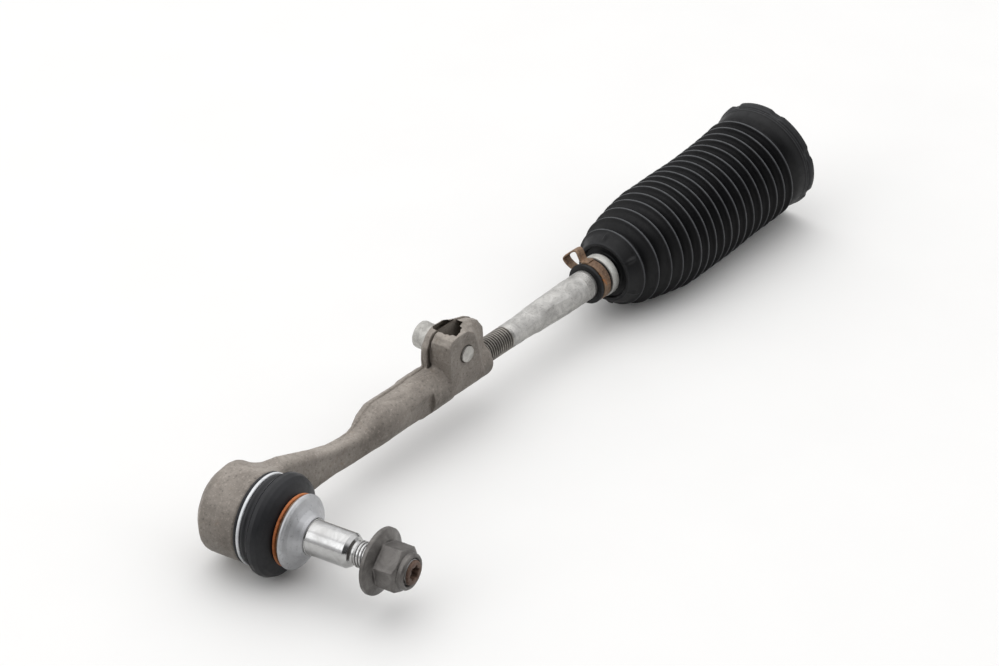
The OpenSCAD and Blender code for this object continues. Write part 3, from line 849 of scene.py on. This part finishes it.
# ---------------------------------------------------------------- band clamp and sleeve on the bellows neck
def strip(name, path, low, high, thick, material):
    """A flat band of that thickness that follows a path of (y, z) points, from x low to x high."""
    path = np.array(path, float)
    tangent = np.gradient(path, axis=0)
    tangent /= np.linalg.norm(tangent, axis=1, keepdims=True)
    normal = np.stack([tangent[:, 1], -tangent[:, 0]], -1)
    bevel = 0.18
    section = [(low + bevel, 0), (low, bevel), (low, thick - bevel), (low + bevel, thick),
               (high - bevel, thick), (high, thick - bevel), (high, bevel), (high - bevel, 0)]
    verts = []
    for p, n in zip(path, normal):
        for x, t in section:
            q = p + n * (t - thick / 2)
            verts.append((x, q[0], q[1]))
    rows, cols = len(path), len(section)
    faces = ring_faces(rows, cols, False)
    faces += [list(range(cols))[::-1], [(rows - 1) * cols + k for k in range(cols)]]
    return mesh_object(name, verts, faces, material, 40)


def smooth_path(points, rounds=3):
    points = np.array(points, float)
    for _ in range(rounds):
        a, b = points[:-1], points[1:]
        inner = np.empty((2 * len(a), 2))
        inner[0::2] = 0.75 * a + 0.25 * b
        inner[1::2] = 0.25 * a + 0.75 * b
        points = np.vstack([points[:1], inner, points[-1:]])
    return points


def on_circle(radius, degrees):
    return (radius * math.cos(math.radians(degrees)), radius * math.sin(math.radians(degrees)))


def band_path():
    """Once round the neck, with the open ear standing up at the rear."""
    around = [on_circle(9.95, a) for a in range(66, 376, 10)]
    ear = [on_circle(10.4, 22), on_circle(13.0, 20), (15.9, 6.9), (15.2, 9.2), (9.6, 14.4), (7.6, 14.6),
           on_circle(12.6, 62), on_circle(10.3, 64), on_circle(10.6, 74), on_circle(10.55, 88)]
    return smooth_path(around + ear)


band = strip("spring_band", band_path(), 242.4, 247.5, 0.85, "spring_steel")
placed(band, "bellows", "spring_steel", "bellows_small_clamp")

SLEEVE = [(9.42, 249.0), (10.4, 249.0), (10.7, 249.4), (10.7, 252.9), (10.5, 253.6), (9.42, 253.6)]
sleeve = lathe("neck_sleeve", rounded(SLEEVE, 0.3), rod_points, "sleeve_steel", cols=120)
placed(sleeve, "bellows", "sleeve_steel", "bellows_neck_sleeve")

SHELLS = ("outer_bearing_shell", "inner_bearing_shell", "inner_retaining_ring")
for entry in frame["record"]["subparts"]:
    if entry["node"] in SHELLS:
        kept = frame["nodes"][entry["node"]]
        kept.data.materials.clear()
        kept.data.materials.append(MATS[entry["material_slot"]])


# ---------------------------------------------------------------- camera, floor and light
CAMERA_PLACE = (-0.6816, -0.7171, 0.7104)
CAMERA_ANGLES = (-50.045, 32.297, -0.850)
CAMERA_LENS = 100.9


def camera():
    """The camera at the picture's angle, from its azimuth, elevation and roll in degrees."""
    azimuth, elevation, roll = (math.radians(a) for a in CAMERA_ANGLES)
    back = Vector((math.sin(azimuth) * math.cos(elevation), -math.cos(azimuth) * math.cos(elevation),
                   math.sin(elevation)))
    right = Vector((0, 0, 1)).cross(back).normalized()
    up = back.cross(right)
    right, up = (math.cos(roll) * right + math.sin(roll) * up, math.cos(roll) * up - math.sin(roll) * right)
    data = bpy.data.cameras.new("camera")
    data.lens = CAMERA_LENS
    data.sensor_width = 36
    data.clip_end = 30
    obj = bpy.data.objects.new("camera", data)
    turn = Matrix((right, up, back)).transposed().to_4x4()
    obj.matrix_world = Matrix.Translation(CAMERA_PLACE) @ turn
    bpy.context.scene.collection.objects.link(obj)
    bpy.context.scene.camera = obj


camera()


def stage_material(name, colour, low, high, size):
    n = Nodes(name)
    cloud = n.noise(size, 3, 0.5)
    tint = n.mix(n.ramp(cloud, 0.3, 0.7), tuple(c * low for c in colour), tuple(c * high for c in colour))
    rough = n.ramp(cloud, 0.3, 0.7, 0.55, 0.7)
    return n.finish(tint, rough, metal=0.0, Specular_IOR_Level=0.15)


FLOOR_NORMAL = Vector((0.0045, -0.016, 1)).normalized()
FLOOR_POINT = Vector((0.003, -0.019, -0.0240))


def plane(name, centre, x_axis, y_axis, half_x, half_y, material):
    """A flat rectangle of the given centre, axes and half sizes, not attached to any body."""
    x_axis, y_axis = Vector(x_axis), Vector(y_axis)
    corners = [centre + x_axis * sx * half_x + y_axis * sy * half_y
               for sx, sy in ((-1, -1), (1, -1), (1, 1), (-1, 1))]
    mesh = bpy.data.meshes.new(name)
    mesh.from_pydata([tuple(c) for c in corners], [], [(0, 1, 2, 3)])
    mesh.materials.append(material)
    obj = bpy.data.objects.new(name, mesh)
    bpy.context.scene.collection.objects.link(obj)
    return obj


across = Vector((0.642, -0.766, 0))
floor_x = (across - FLOOR_NORMAL * across.dot(FLOOR_NORMAL)).normalized()
floor_y = FLOOR_NORMAL.cross(floor_x)
FLOOR_HALF = 3.0
floor = plane("floor", FLOOR_POINT, floor_x, floor_y, FLOOR_HALF, FLOOR_HALF,
              stage_material("floor_white", (0.87, 0.866, 0.852), 0.985, 1.0, 60))
# the floor's light does not reach the undersides, which are dark in the picture
floor.visible_diffuse = False


def area(name, place, target, width, height, power, colour):
    data = bpy.data.lights.new(name, "AREA")
    data.shape = "RECTANGLE"
    data.size, data.size_y = width, height
    data.energy = power
    data.color = colour
    obj = bpy.data.objects.new(name, data)
    obj.location = place
    obj.rotation_euler = (Vector(target) - Vector(place)).to_track_quat("-Z", "Y").to_euler()
    bpy.context.scene.collection.objects.link(obj)


MIDDLE = (0.18, -0.02, 0.0)
area("overhead", (0.30, 0.55, 1.9), MIDDLE, 2.2, 1.8, 6.0, (1.0, 0.99, 0.97))
area("left", (-1.5, 0.5, 1.2), MIDDLE, 0.9, 1.2, 3.0, (0.98, 0.99, 1.0))


def studio():
    """A bright room that is dark on the side the picture is taken from."""
    world = bpy.data.worlds.new("studio")
    world.use_nodes = True
    tree = world.node_tree
    direction = tree.nodes.new("ShaderNodeTexCoord").outputs["Generated"]
    height = tree.nodes.new("ShaderNodeSeparateXYZ")
    tree.links.new(direction, height.inputs[0])
    facing = tree.nodes.new("ShaderNodeVectorMath")
    facing.operation = "DOT_PRODUCT"
    facing.inputs[1].default_value = (-0.62, -0.76, 0.18)
    tree.links.new(direction, facing.inputs[0])
    product = tree.nodes.new("ShaderNodeMath")
    product.operation = "MULTIPLY"
    for slot, source, limits in ((0, height.outputs["Z"], (-0.10, 0.45, 0.26, 1.22)),
                                 (1, facing.outputs["Value"], (0.58, 0.86, 1.0, 0.10))):
        fade = tree.nodes.new("ShaderNodeMapRange")
        for socket, value in zip(("From Min", "From Max", "To Min", "To Max"), limits):
            fade.inputs[socket].default_value = value
        tree.links.new(source, fade.inputs[0])
        tree.links.new(fade.outputs[0], product.inputs[slot])
    background = tree.nodes["Background"]
    background.inputs[0].default_value = (0.99, 0.99, 1.0, 1.0)
    tree.links.new(product.outputs[0], background.inputs[1])
    bpy.context.scene.world = world


studio()
bpy.context.scene.view_settings.view_transform = "Standard"
